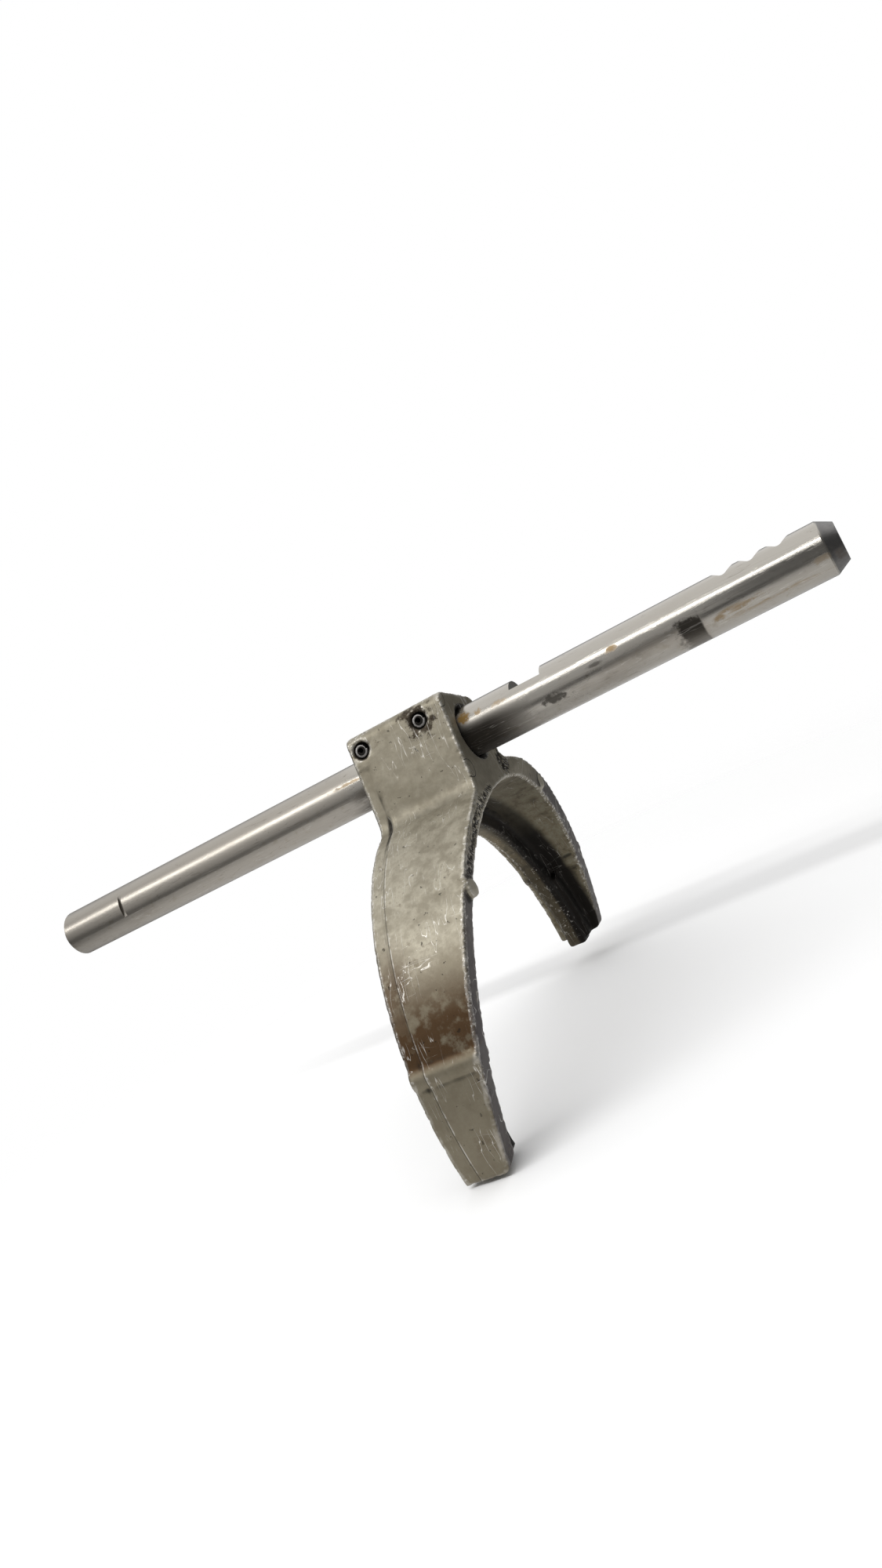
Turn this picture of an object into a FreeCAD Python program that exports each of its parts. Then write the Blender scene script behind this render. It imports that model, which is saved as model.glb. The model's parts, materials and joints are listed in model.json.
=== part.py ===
# Gearbox selector fork on its rail.
#
# A die-cast shift fork is held on a detented steel rail by two coiled spring pins.
# Row frame: X runs along the rail towards its detent end, Z points from the axis of
# the sleeve that the fork straddles to the rail's axis, and Y completes the frame.
# The origin is on the rail's axis, in the mid-plane of the fork's tongue.
import FreeCAD
import Part
import Sketcher
import math
import os

# Every driving dimension: alias, millimetres or degrees, what it sets.
SIZES = [
    ("rail_diameter", 16.0, "ground shaft"),
    ("rail_reach_detent", 145.0, "origin to the detent end"),
    ("rail_reach_plain", 143.5, "origin to the plain end"),
    ("cone_length", 4.3, "lead-in cone at the detent end, along the rail"),
    ("cone_depth", 2.4, "lead-in cone, radial"),
    ("plain_chamfer", 1.2, "chamfer at the plain end"),
    ("detent_inset", 31.0, "detent end to the first notch"),
    ("detent_pitch", 8.1, "notch to notch, the travel between gears"),
    ("detent_depth", 2.5, "notch depth below the rail's surface"),
    ("detent_flank", 40.0, "flank angle from the rail's axis"),
    ("detent_root", 1.7, "radius at the bottom of a notch"),
    ("interlock_start", 45.0, "origin to the interlock slot"),
    ("interlock_length", 10.5, "interlock slot along the rail"),
    ("interlock_depth", 3.6, "interlock slot depth"),
    ("witness_inset", 28.5, "plain end to the witness groove"),
    ("witness_width", 1.4, "witness groove along the rail"),
    ("witness_depth", 0.95, "witness groove depth"),
    ("bore_clearance", 0.03, "radial gap between rail and boss"),
    ("bore_chamfer", 1.2, "lead-in at both mouths of the bore"),
    ("boss_tilt", 16.6, "boss turned about the rail, from the row's Z"),
    ("boss_front", 26.8, "origin to the boss face on the detent side"),
    ("boss_back", 8.05, "origin to the flat back of the fork"),
    ("side_wall", 6.5, "boss beside the rail"),
    ("top_wall", 4.8, "boss above the rail"),
    ("near_corner", 3.2, "radius of the boss's upper corner, -Y side"),
    ("far_corner", 7.0, "radius of the boss's upper corner, +Y side"),
    ("shoulder_radius", 6.0, "hollow between a side of the boss and an arm"),
    ("shoulder_bite", 0.05, "how deep the hollow's foot sinks into the arm"),
    ("arm_radius", 78.1, "outer surface of the arms, from the sleeve axis"),
    ("neck", 11.3, "rail axis to the top of the arms' outer surface"),
    ("arm_thickness", 6.9, "radial thickness of the arms"),
    ("arm_skew", 3.2, "arms turned about the sleeve axis, -Y arm lower"),
    ("arm_reach", 5.8, "how far the arms run past the sleeve's level, degrees"),
    ("tip_corner", 2.2, "rounded corners at the ends of the arms"),
    ("arm_taper", 13.8, "front of the arms, angle from the vertical"),
    ("taper_start", 17.5, "rail axis down to where the front starts to slope"),
    ("tongue_height", 6.6, "tongue, inwards from the arms"),
    ("tongue_thickness", 6.0, "tongue along the rail"),
    ("tongue_foot", 2.0, "how far the tongue's foot spreads on each side"),
    ("pad_height", 7.2, "tip pads, inwards from the arms"),
    ("pad_thickness", 6.8, "tip pads along the rail"),
    ("pad_start", 20.0, "upper end of a tip pad, above the sleeve's level"),
    ("pad_reach", 7.2, "lower end of a tip pad, below the sleeve's level"),
    ("block_front", 5.4, "cast block beside the pad, from the tongue's middle"),
    ("block_height", 5.0, "cast block, inwards from the arms"),
    ("block_start", 17.0, "upper end of the cast block, above the sleeve's level"),
    ("lug_radius", 4.5, "round lug across each arm, for the ejector pins"),
    ("lug_angle", 17.5, "lug above the sleeve's level"),
    ("button_radius", 2.7, "ejector button on the sloping front"),
    ("button_height", 1.2, "ejector button, along the rail"),
    ("button_angle", 50.8, "ejector button above the sleeve's level"),
    ("pin_diameter", 5.2, "coiled spring pin, as fitted"),
    ("pin_clearance", 0.02, "radial gap round a pin"),
    ("pin_back", 3.7, "origin to the pin near the back, towards the plain end"),
    ("pin_spacing", 21.4, "pin to pin"),
    ("pin_sink", 0.72, "rail's surface down to the pins' axes"),
    ("pin_recess", 0.4, "pin's ends below the sides of the boss"),
    ("pin_strip", 0.5, "strip thickness of the coil"),
    ("pin_gap", 0.1, "gap between turns of the coil"),
    ("pin_chamfer", 0.15, "broken edge at the ends of the pins"),
    ("hole_chamfer", 0.35, "mouth of a pin hole"),
    ("overlap", 1.0, "how far a pad's root sinks in, or a cut runs past a face"),
    ("across", 400.0, "width of the cuts that go right through"),
]
COIL_HALF_TURNS = 5
DETENT_NOTCHES = 3

# How near an edge must be to its expected place to be picked. The slope of the front may
# clip the edges at the tips of the arms, so those are given more room.
NEAR_MOUTH = 0.1
NEAR_TIP = 1.7
NEAR_TIP_TURN = 1.0
# An arc whose centre is nearer than this to its chord is a half turn.
HALF_TURN = 1e-9

# Lengths that follow from the driving ones.
RAIL_RADIUS = "([rail_diameter] / 2)"
BOSS_HALF_WIDTH = "([rail_diameter] / 2 + [side_wall])"
BOSS_HEIGHT = "([rail_diameter] / 2 + [top_wall])"
SLEEVE_DROP = "([arm_radius] + [neck])"
ARM_INNER = "([arm_radius] - [arm_thickness])"
ARM_MIDDLE = "([arm_radius] - [arm_thickness] / 2)"
PIN_HEIGHT = "([rail_diameter] / 2 - [pin_sink])"

doc = FreeCAD.newDocument("selector_fork")
sheet = doc.addObject("Spreadsheet::Sheet", "Sizes")
for row, (alias, value, note) in enumerate(SIZES, start=1):
    sheet.set(f"A{row}", alias)
    sheet.set(f"B{row}", str(value))
    sheet.set(f"C{row}", note)
    sheet.setAlias(f"B{row}", alias)
doc.recompute()


def size(alias):
    """A cell of the sheet as a plain number."""
    return float(sheet.get(alias))


def cells(text):
    """An expression in which each word that is an alias refers to the sheet."""
    for alias in sorted((name for name, _, _ in SIZES), key=len, reverse=True):
        text = text.replace(f"[{alias}]", f"Sizes.{alias}")
    return text


def number(owner, text):
    """What an expression is worth now."""
    return float(owner.evalExpression(cells(text)))


def body(label):
    made = doc.addObject("PartDesign::Body", label)
    made.Label = label
    return made


def sketch(owner, name, role):
    """An empty sketch on one of the body's own planes."""
    made = owner.newObject("Sketcher::SketchObject", name)
    plane = next(f for f in owner.Origin.OriginFeatures if f.Role == role)
    made.AttachmentSupport = [(plane, "")]
    made.MapMode = "FlatFace"
    return made


def bind(made, constraint, text):
    """Adds a constraint to a sketch and ties its value to the sheet."""
    index = made.addConstraint(constraint)
    made.setExpression(f"Constraints[{index}]", cells(text))


def pin_point(made, edge, end, x_text, y_text):
    """Fixes a point of a sketch by its two coordinates."""
    x = number(made, x_text)
    y = number(made, y_text)
    bind(made, Sketcher.Constraint("DistanceX", -1, 1, edge, end, x), x_text)
    bind(made, Sketcher.Constraint("DistanceY", -1, 1, edge, end, y), y_text)


def outline(made, corners):
    """A closed outline. A corner is (x, y) or (x, y, radius): with a radius, the stretch
    from that corner to the next is an arc that turns left for a positive radius."""
    points = [FreeCAD.Vector(number(made, c[0]), number(made, c[1]), 0) for c in corners]
    for index, corner in enumerate(corners):
        start = points[index]
        end = points[(index + 1) % len(points)]
        if len(corner) == 2:
            made.addGeometry(Part.LineSegment(start, end), False)
            continue
        radius = number(made, corner[2])
        chord = end - start
        left = FreeCAD.Vector(-chord.y, chord.x, 0).normalize()
        rise = math.sqrt(max(radius ** 2 - (chord.Length / 2) ** 2, 0.0))
        side = 1 if radius > 0 else -1
        centre = start + chord * 0.5 + left * (side * rise)
        middle = centre + (start + chord * 0.5 - centre).normalize() * abs(radius)
        if rise < HALF_TURN:
            middle = centre - left * radius
        made.addGeometry(Part.Arc(start, middle, end), False)
    count = len(corners)
    for index, corner in enumerate(corners):
        first, second = 1, 2
        if len(corner) == 3 and corner[2].lstrip().startswith("-"):
            first, second = 2, 1
        following = corners[(index + 1) % count]
        nearest = 1
        if len(following) == 3 and following[2].lstrip().startswith("-"):
            nearest = 2
        made.addConstraint(
            Sketcher.Constraint("Coincident", index, second, (index + 1) % count, nearest)
        )
        pin_point(made, index, first, corner[0], corner[1])
        if len(corner) == 3:
            radius = corner[2].lstrip().lstrip("-")
            value = number(made, radius)
            bind(made, Sketcher.Constraint("Radius", index, value), radius)


def ring(made, x_text, y_text, radius_text):
    """A full circle in a sketch."""
    centre = FreeCAD.Vector(number(made, x_text), number(made, y_text), 0)
    radius = number(made, radius_text)
    normal = FreeCAD.Vector(0, 0, 1)
    index = made.addGeometry(Part.Circle(centre, normal, radius), False)
    pin_point(made, index, 3, x_text, y_text)
    bind(made, Sketcher.Constraint("Radius", index, radius), radius_text)


def settle(made, settings):
    """Sets a feature's properties; those that name cells of the sheet become expressions."""
    for key, value in settings.items():
        if isinstance(value, str) and "[" in value:
            made.setExpression(key, cells(value))
        else:
            setattr(made, key, value)
    doc.recompute()
    return made


def feature(owner, kind, name, profile, **settings):
    """A PartDesign feature made from a sketch."""
    made = owner.newObject(f"PartDesign::{kind}", name)
    made.Profile = profile
    return settle(made, settings)


def dress(owner, kind, name, base, **settings):
    """A fillet or chamfer on named edges of an earlier feature."""
    made = owner.newObject(f"PartDesign::{kind}", name)
    made.Base = base
    owner.Tip = made
    return settle(made, settings)


def through(owner, name, profile):
    """A cut on both sides of the sketch's plane, right through the piece."""
    return feature(owner, "Pocket", name, profile, SideType="Symmetric", Length="[across]")


def turn_about_rail(made, axis):
    """Turns a sketch from the row's Z to the boss's own upright."""
    turn = FreeCAD.Rotation(axis, size("boss_tilt"))
    made.AttachmentOffset = FreeCAD.Placement(FreeCAD.Vector(), turn)
    made.setExpression("AttachmentOffset.Rotation.Angle", cells("[boss_tilt]"))


def make_rail():
    """The ground rail, modelled with the boss's upright as its own Z."""
    rail = body("selector_rail")
    profile = sketch(rail, "rail_profile", "XZ_Plane")
    outline(profile, [
        ("-[rail_reach_plain]", "0"),
        ("[rail_reach_detent]", "0"),
        ("[rail_reach_detent]", f"{RAIL_RADIUS} - [cone_depth]"),
        ("[rail_reach_detent] - [cone_length]", RAIL_RADIUS),
        ("-[rail_reach_plain] + [plain_chamfer]", RAIL_RADIUS),
        ("-[rail_reach_plain]", f"{RAIL_RADIUS} - [plain_chamfer]"),
    ])
    feature(rail, "Revolution", "bar", profile, ReferenceAxis=(profile, ["H_Axis"]), Angle=360)

    slot = sketch(rail, "interlock_outline", "XZ_Plane")
    slot_end = "[interlock_start] + [interlock_length]"
    outline(slot, [
        ("[interlock_start]", f"{RAIL_RADIUS} - [interlock_depth]"),
        (slot_end, f"{RAIL_RADIUS} - [interlock_depth]"),
        (slot_end, "[rail_diameter]"),
        ("[interlock_start]", "[rail_diameter]"),
    ])
    through(rail, "interlock_slot", slot)

    notch = sketch(rail, "detent_outline", "XZ_Plane")
    first = "([rail_reach_detent] - [detent_inset])"
    floor = f"({RAIL_RADIUS} - [detent_depth])"
    root_half = "([detent_root] * sin([detent_flank]))"
    root_rise = "([detent_root] * (1 - cos([detent_flank])))"
    run = f"(([detent_depth] + [overlap] - {root_rise}) / tan([detent_flank]))"
    outline(notch, [
        (f"{first} - {root_half}", f"{floor} + {root_rise}", "[detent_root]"),
        (f"{first} + {root_half}", f"{floor} + {root_rise}"),
        (f"{first} + {root_half} + {run}", f"{RAIL_RADIUS} + [overlap]"),
        (f"{first} - {root_half} - {run}", f"{RAIL_RADIUS} + [overlap]"),
    ])
    cut = through(rail, "detent_notch", notch)
    notches = rail.newObject("PartDesign::LinearPattern", "detent_notches")
    notches.Originals = [cut]
    notches.Direction = (profile, ["H_Axis"])
    notches.Occurrences = DETENT_NOTCHES
    notches.setExpression("Length", cells(f"{DETENT_NOTCHES - 1} * [detent_pitch]"))
    rail.Tip = notches
    doc.recompute()

    grooves = sketch(rail, "pin_groove_outline", "XZ_Plane")
    groove_radius = "[pin_diameter] / 2 + [pin_clearance]"
    ring(grooves, "-[pin_back]", PIN_HEIGHT, groove_radius)
    ring(grooves, "[pin_spacing] - [pin_back]", PIN_HEIGHT, groove_radius)
    through(rail, "pin_grooves", grooves)

    witness = sketch(rail, "witness_outline", "XY_Plane")
    place = "([witness_inset] - [rail_reach_plain])"
    edge = f"[witness_depth] - {RAIL_RADIUS}"
    outline(witness, [
        (f"{place} - [witness_width] / 2", "-[rail_diameter]"),
        (f"{place} + [witness_width] / 2", "-[rail_diameter]"),
        (f"{place} + [witness_width] / 2", edge),
        (f"{place} - [witness_width] / 2", edge),
    ])
    through(rail, "witness_groove", witness)

    upright = FreeCAD.Rotation(FreeCAD.Vector(-1, 0, 0), size("boss_tilt"))
    rail.Placement = FreeCAD.Placement(FreeCAD.Vector(), upright)
    rail.setExpression("Placement.Rotation.Angle", cells("[boss_tilt]"))
    return rail


def on_arm(side, radius, angle):
    """Sketch coordinates of a point beside the sleeve: side is 1 for the +Y arm and -1
    for the -Y arm, angle is above the sleeve's level before the arms are skewed."""
    skewed = f"({angle} + {side} * [arm_skew])"
    return f"{side} * {radius} * cos{skewed}", f"{radius} * sin{skewed} - {SLEEVE_DROP}"


def sector(made, side, inner, outer, low, high):
    """An outline between two radii and two angles on one arm."""
    sign = "" if side > 0 else "-"
    back = "-" if side > 0 else ""
    outline(made, [
        (*on_arm(side, inner, low), f"{sign}{inner}"),
        on_arm(side, inner, high),
        (*on_arm(side, outer, high), f"{back}{outer}"),
        on_arm(side, outer, low),
    ])


def named_edges(made):
    """The edges of a feature's shape with the names that a dress-up feature uses."""
    return [(f"Edge{index}", edge) for index, edge in enumerate(made.Shape.Edges, start=1)]


def across_a_tip(edge):
    """True for the edge where the end face of an arm meets its sloping front."""
    end = edge.CenterOfMass
    sleeve = FreeCAD.Vector(end.x, 0, -number(sheet, SLEEVE_DROP))
    middle = number(sheet, ARM_MIDDLE)
    in_arm = abs((end - sleeve).Length - middle) < NEAR_TIP
    side = 1 if end.y > 0 else -1
    turned = math.degrees(math.atan2(end.z - sleeve.z, abs(end.y)))
    at_tip = abs(turned + size("arm_reach") - side * size("arm_skew")) < NEAR_TIP_TURN
    full_length = abs(edge.Length - size("arm_thickness")) < NEAR_TIP
    return in_arm and at_tip and full_length and end.x > 0


def round_a_pin_mouth(edge):
    """True for the circle where a pin hole comes out on a side of the boss."""
    if not isinstance(edge.Curve, Part.Circle):
        return False
    tilt = math.radians(size("boss_tilt"))
    centre = edge.Curve.Center
    sideways = centre.y * math.cos(tilt) - centre.z * math.sin(tilt)
    return abs(abs(sideways) - number(sheet, BOSS_HALF_WIDTH)) < NEAR_MOUTH


def round_a_bore_mouth(edge):
    """True for the circle where the rail's bore comes out on an end of the boss."""
    if not isinstance(edge.Curve, Part.Circle):
        return False
    radius = number(sheet, f"{RAIL_RADIUS} + [bore_clearance]")
    centre = edge.Curve.Center
    on_end = min(abs(centre.x - size("boss_front")), abs(centre.x + size("boss_back")))
    return abs(edge.Curve.Radius - radius) < size("bore_clearance") and on_end < NEAR_MOUTH


def make_fork():
    """The casting: a boss round the rail, two arms round the sleeve and their tongue."""
    fork = body("shift_fork")
    whole_depth = {"SideType": "Two sides", "Length": "[boss_front]", "Length2": "[boss_back]"}

    section = sketch(fork, "arm_section", "XZ_Plane")
    half = "[tongue_thickness] / 2"
    foot = f"{ARM_INNER} - [tongue_foot] - {SLEEVE_DROP}"
    root = f"{ARM_INNER} - {SLEEVE_DROP}"
    lip = f"{ARM_INNER} - [tongue_height] - {SLEEVE_DROP}"
    outline(section, [
        ("-[boss_back]", root),
        (f"-{half} - [tongue_foot]", root, "-[tongue_foot]"),
        (f"-{half}", foot),
        (f"-{half}", lip),
        (half, lip),
        (half, foot, "-[tongue_foot]"),
        (f"{half} + [tongue_foot]", root),
        ("[boss_front]", root),
        ("[boss_front]", "-[neck]"),
        ("-[boss_back]", "-[neck]"),
    ])
    drop = number(sheet, SLEEVE_DROP)
    ends = [FreeCAD.Vector(x, -drop, 0) for x in (-size("boss_back"), size("boss_front"))]
    sleeve_axis = section.addGeometry(Part.LineSegment(*ends), True)
    pin_point(section, sleeve_axis, 1, "-[boss_back]", f"-{SLEEVE_DROP}")
    pin_point(section, sleeve_axis, 2, "[boss_front]", f"-{SLEEVE_DROP}")
    feature(
        fork, "Revolution", "arms", section, ReferenceAxis=(section, ["Axis0"]), Type="TwoAngles",
        Angle="90 + [arm_reach] + [arm_skew]", Angle2="90 + [arm_reach] - [arm_skew]",
    )

    hub = sketch(fork, "boss_outline", "YZ_Plane")
    turn_about_rail(hub, FreeCAD.Vector(0, 0, -1))
    level = f"{SLEEVE_DROP} * cos([boss_tilt])"
    lean = f"{SLEEVE_DROP} * sin([boss_tilt])"
    near_foot = f"sqrt({ARM_MIDDLE}^2 - ({BOSS_HALF_WIDTH} + {lean})^2) - {level}"
    far_foot = f"sqrt({ARM_MIDDLE}^2 - ({BOSS_HALF_WIDTH} - {lean})^2) - {level}"
    outline(hub, [
        (f"-{BOSS_HALF_WIDTH}", near_foot),
        (BOSS_HALF_WIDTH, far_foot),
        (BOSS_HALF_WIDTH, f"{BOSS_HEIGHT} - [far_corner]", "[far_corner]"),
        (f"{BOSS_HALF_WIDTH} - [far_corner]", BOSS_HEIGHT),
        (f"[near_corner] - {BOSS_HALF_WIDTH}", BOSS_HEIGHT, "[near_corner]"),
        (f"-{BOSS_HALF_WIDTH}", f"{BOSS_HEIGHT} - [near_corner]"),
    ])
    feature(fork, "Pad", "boss", hub, **whole_depth)

    for side, name in ((-1, "near"), (1, "far")):
        hollow = sketch(fork, f"{name}_hollow_outline", "YZ_Plane")
        turn_about_rail(hollow, FreeCAD.Vector(0, 0, -1))
        reach = "([arm_radius] + [shoulder_radius] - [shoulder_bite])"
        away = f"({side} * ({BOSS_HALF_WIDTH} + [shoulder_radius]) - {lean})"
        rise = f"sqrt({reach}^2 - {away}^2)"
        touch = f"(([arm_radius] - [shoulder_bite]) / {reach})"
        deep = f"({ARM_MIDDLE} / {reach})"
        inside = f"{side} * ({BOSS_HALF_WIDTH} - [overlap])"
        sunk = f"({inside} - {lean})"
        bend = "[shoulder_radius]" if side > 0 else "-[shoulder_radius]"
        outline(hollow, [
            (f"{side} * {BOSS_HALF_WIDTH}", f"{rise} - {level}", bend),
            (f"{lean} + {away} * {touch}", f"{rise} * {touch} - {level}"),
            (f"{lean} + {away} * {deep}", f"{rise} * {deep} - {level}"),
            (inside, f"sqrt({ARM_MIDDLE}^2 - {sunk}^2) - {level}"),
            (inside, f"{rise} - {level}"),
        ])
        feature(fork, "Pad", f"{name}_hollow", hollow, **whole_depth)

    lugs = sketch(fork, "lug_outline", "YZ_Plane")
    for side in (-1, 1):
        ring(lugs, *on_arm(side, ARM_MIDDLE, "[lug_angle]"), "[lug_radius]")
    feature(fork, "Pad", "lugs", lugs, **whole_depth)

    slope = sketch(fork, "front_slope", "XZ_Plane")
    bottom = f"({SLEEVE_DROP} + [arm_radius] / 2)"
    outline(slope, [
        ("[boss_front]", "-[taper_start]"),
        (f"[boss_front] - tan([arm_taper]) * ({bottom} - [taper_start])", f"-{bottom}"),
        ("[boss_front] + [overlap]", f"-{bottom}"),
        ("[boss_front] + [overlap]", "-[taper_start]"),
    ])
    sloped = through(fork, "sloping_front", slope)
    tips = [name for name, edge in named_edges(sloped) if across_a_tip(edge)]
    dress(fork, "Fillet", "tip_corners", (sloped, tips), Radius="[tip_corner]")

    sunk_root = f"({ARM_INNER} + [overlap])"
    pad_face = f"({ARM_INNER} - [pad_height])"
    block_face = f"({ARM_INNER} - [block_height])"
    for side, name in ((-1, "near"), (1, "far")):
        pad = sketch(fork, f"{name}_pad_outline", "YZ_Plane")
        sector(pad, side, pad_face, sunk_root, "-[pad_reach]", "[pad_start]")
        feature(fork, "Pad", f"{name}_pad", pad, SideType="Symmetric", Length="[pad_thickness]")
        block = sketch(fork, f"{name}_block_outline", "YZ_Plane")
        sector(block, side, block_face, sunk_root, "-[arm_reach]", "[block_start]")
        feature(fork, "Pad", f"{name}_block", block, Length="[block_front]")

    buttons = sketch(fork, "button_outline", "YZ_Plane")
    for side in (-1, 1):
        ring(buttons, *on_arm(side, ARM_MIDDLE, "[button_angle]"), "[button_radius]")
    depth = f"({SLEEVE_DROP} - {ARM_MIDDLE} * sin([button_angle]) - [taper_start])"
    feature(
        fork, "Pad", "buttons", buttons,
        Length=f"[boss_front] + [button_height] - tan([arm_taper]) * {depth}",
    )

    bore = sketch(fork, "bore_outline", "YZ_Plane")
    ring(bore, "0", "0", f"{RAIL_RADIUS} + [bore_clearance]")
    through(fork, "rail_bore", bore)

    holes = sketch(fork, "pin_hole_outline", "XZ_Plane")
    turn_about_rail(holes, FreeCAD.Vector(-1, 0, 0))
    hole_radius = "[pin_diameter] / 2 + [pin_clearance]"
    ring(holes, "-[pin_back]", PIN_HEIGHT, hole_radius)
    ring(holes, "[pin_spacing] - [pin_back]", PIN_HEIGHT, hole_radius)
    drilled = through(fork, "pin_holes", holes)
    mouths = [name for name, edge in named_edges(drilled) if round_a_pin_mouth(edge)]
    lead_ins = dress(fork, "Chamfer", "pin_hole_mouths", (drilled, mouths), Size="[hole_chamfer]")
    mouths = [name for name, edge in named_edges(lead_ins) if round_a_bore_mouth(edge)]
    dress(fork, "Chamfer", "bore_mouths", (lead_ins, mouths), Size="[bore_chamfer]")
    return fork


def coil_section(radius, strip, gap):
    """The coil seen from its end: half turns of strip, each a little tighter."""
    step = (strip + gap) / 2
    outer, inner = [], []
    centre = 0.0
    for turn in range(COIL_HALF_TURNS):
        side = 1 if turn % 2 == 0 else -1
        for edges, offset in ((outer, 0.0), (inner, strip)):
            reach = radius - turn * step - offset
            start = FreeCAD.Vector(centre + side * reach, 0, 0)
            top = FreeCAD.Vector(centre, side * reach, 0)
            end = FreeCAD.Vector(centre - side * reach, 0, 0)
            edges.append((start, top, end))
        centre -= side * step
    path = [Part.Arc(*points).toShape() for points in outer]
    path.append(Part.LineSegment(outer[-1][2], inner[-1][2]).toShape())
    path += [Part.Arc(end, top, start).toShape() for start, top, end in reversed(inner)]
    path.append(Part.LineSegment(inner[0][0], outer[0][0]).toShape())
    return Part.Face(Part.Wire(path))


def make_pin(label, along):
    """A coiled spring pin across the boss, its end edges broken."""
    radius = size("pin_diameter") / 2
    length = number(sheet, f"2 * ({BOSS_HALF_WIDTH} - [pin_recess])")
    chamfer = size("pin_chamfer")
    coil = coil_section(radius, size("pin_strip"), size("pin_gap"))
    bar = coil.extrude(FreeCAD.Vector(0, 0, length))
    blank = Part.makeCylinder(radius, length - 2 * chamfer, FreeCAD.Vector(0, 0, chamfer))
    ends = ((0, radius - chamfer, radius), (length - chamfer, radius, radius - chamfer))
    for base, bottom, top in ends:
        blank = blank.fuse(Part.makeCone(bottom, top, chamfer, FreeCAD.Vector(0, 0, base)))
    pin = doc.addObject("Part::Feature", label)
    pin.Label = label
    pin.Shape = bar.common(blank)
    upright = FreeCAD.Rotation(FreeCAD.Vector(-1, 0, 0), size("boss_tilt"))
    across = upright.multVec(FreeCAD.Vector(0, 1, 0))
    place = upright.multVec(FreeCAD.Vector(along, 0, number(sheet, PIN_HEIGHT))) - across * (length / 2)
    pin.Placement = FreeCAD.Placement(place, FreeCAD.Rotation(FreeCAD.Vector(0, 0, 1), across))
    return pin


parts = [
    make_rail(),
    make_fork(),
    make_pin("coiled_pin_back", -size("pin_back")),
    make_pin("coiled_pin_front", size("pin_spacing") - size("pin_back")),
]
doc.recompute()

for item in doc.Objects:
    if {"Invalid", "Error"} & set(item.State):
        raise RuntimeError(f"{item.Label} did not compute: {item.State}")
for item in parts:
    if item.Shape.isNull() or not item.Shape.isValid() or len(item.Shape.Solids) != 1:
        raise RuntimeError(f"{item.Label} is not one valid solid")
os.makedirs("parts", exist_ok=True)
for item in parts:
    item.Shape.exportStep(f"parts/{item.Label}.step")
    print(f"{item.Label}: {item.Shape.Volume:.0f} mm3")
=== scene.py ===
"""Looks of a gearbox shift fork on its selector rail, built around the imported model."""
import json
import math
from functools import reduce

import bmesh
import bpy
import numpy as np
from bpy.props import FloatProperty, FloatVectorProperty, IntProperty, PointerProperty
from mathutils import Matrix, Vector, noise


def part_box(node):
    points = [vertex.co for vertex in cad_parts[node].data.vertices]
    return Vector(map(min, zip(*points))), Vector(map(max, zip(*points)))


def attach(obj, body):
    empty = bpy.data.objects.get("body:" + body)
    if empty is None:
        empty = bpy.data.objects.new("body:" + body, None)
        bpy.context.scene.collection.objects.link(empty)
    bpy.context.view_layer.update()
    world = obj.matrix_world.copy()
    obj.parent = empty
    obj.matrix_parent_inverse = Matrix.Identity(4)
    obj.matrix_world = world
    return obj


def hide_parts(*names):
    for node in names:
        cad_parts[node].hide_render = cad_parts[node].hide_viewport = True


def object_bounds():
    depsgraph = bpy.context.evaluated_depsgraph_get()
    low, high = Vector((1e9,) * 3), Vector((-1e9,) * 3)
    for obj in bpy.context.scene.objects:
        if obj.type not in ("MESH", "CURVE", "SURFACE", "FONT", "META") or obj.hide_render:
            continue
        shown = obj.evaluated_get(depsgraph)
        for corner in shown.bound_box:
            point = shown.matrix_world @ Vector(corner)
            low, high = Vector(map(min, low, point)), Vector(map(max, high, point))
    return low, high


bl_info = {
    "name": "Shift fork and selector rail",
    "version": (1, 0, 0),
    "blender": (4, 5, 0),
    "location": "3D View > Sidebar > Shift fork",
    "description": "Finishes the rail, the casting and the coiled pins of a shift fork",
    "category": "Object",
}

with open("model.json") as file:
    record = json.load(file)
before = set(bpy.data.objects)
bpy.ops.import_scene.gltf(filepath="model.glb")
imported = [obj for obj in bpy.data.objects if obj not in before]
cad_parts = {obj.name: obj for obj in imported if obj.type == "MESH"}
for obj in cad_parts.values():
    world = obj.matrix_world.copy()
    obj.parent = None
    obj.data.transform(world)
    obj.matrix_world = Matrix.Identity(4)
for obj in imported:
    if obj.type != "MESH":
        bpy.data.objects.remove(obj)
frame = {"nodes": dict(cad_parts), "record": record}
CAD_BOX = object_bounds()

MM = 0.001
MOUNTS = {mount["name"]: mount for mount in frame["record"]["mounts"]}
BOSS_UP = Vector(MOUNTS["detent_1"]["axis"])
PIN_NODES = ("coiled_pin_back", "coiled_pin_front")

# Places along the rail, in millimetres.
RAIL_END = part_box("selector_rail")[1].x / MM
BOSS_BACK, BOSS_FRONT = (corner.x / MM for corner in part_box("shift_fork"))
CONE_LENGTH = 4.1
POLISHED_FROM = 103.5
SOOT_FROM, SOOT_TO = 95.5, 104.2

# Spots on the rail: place, turn in degrees, reach along, reach round, raggedness, strength.
SOOT_SPOTS = (
    (57, 121, 3.8, 11, 4.5, 0.75),
    (72, 96, 2.4, 5, 1.4, 0.7),
)
RUST_SPOTS = (
    (28.4, 66, 2.4, 17, 2.0, 1.0),
    (33.5, 68, 1.3, 8, 2.6, 0.6),
    (41, 72, 2.4, 6, 2.6, 0.45),
    (78, 83, 2.2, 7, 2.0, 0.75),
    (-13, 80, 9, 4, 2.4, 0.5),
    (108.5, 129, 1.8, 8, 2.0, 0.6),
    (139, 116, 3.0, 8, 2.0, 0.35),
)

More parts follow.
